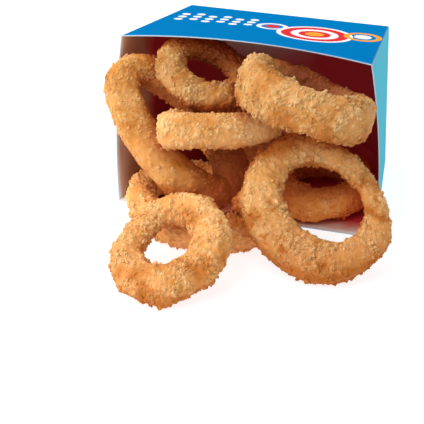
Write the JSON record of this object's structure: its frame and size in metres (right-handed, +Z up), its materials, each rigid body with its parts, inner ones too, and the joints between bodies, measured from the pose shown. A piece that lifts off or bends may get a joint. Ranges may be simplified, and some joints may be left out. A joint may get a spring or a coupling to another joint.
{
  "type": "onion rings in a carton",
  "caption": "Battered onion rings filling an open paperboard carton that lies on its side and spilling out in front of its mouth.",
  "frame": {"origin": "middle of the carton wall that rests on the table", "axes": "+Z up, mouth of the carton towards -Y, closed end towards +Y"},
  "size_m": [0.1557, 0.1944, 0.0959],
  "materials": {
    "board": "printed, smooth, slightly glossy",
    "crust": "fried crumb crust, rough"
  },
  "bodies": {
    "root": {"carton": "board", "ring_front_small": "crust", "ring_front_large": "crust", "ring_front_flat": "crust", "ring_inside_right": "crust", "ring_top_right": "crust", "ring_top_left": "crust", "ring_left_leaning": "crust", "ring_middle": "crust", "ring_inside_middle": "crust"}
  },
  "joints": []
}
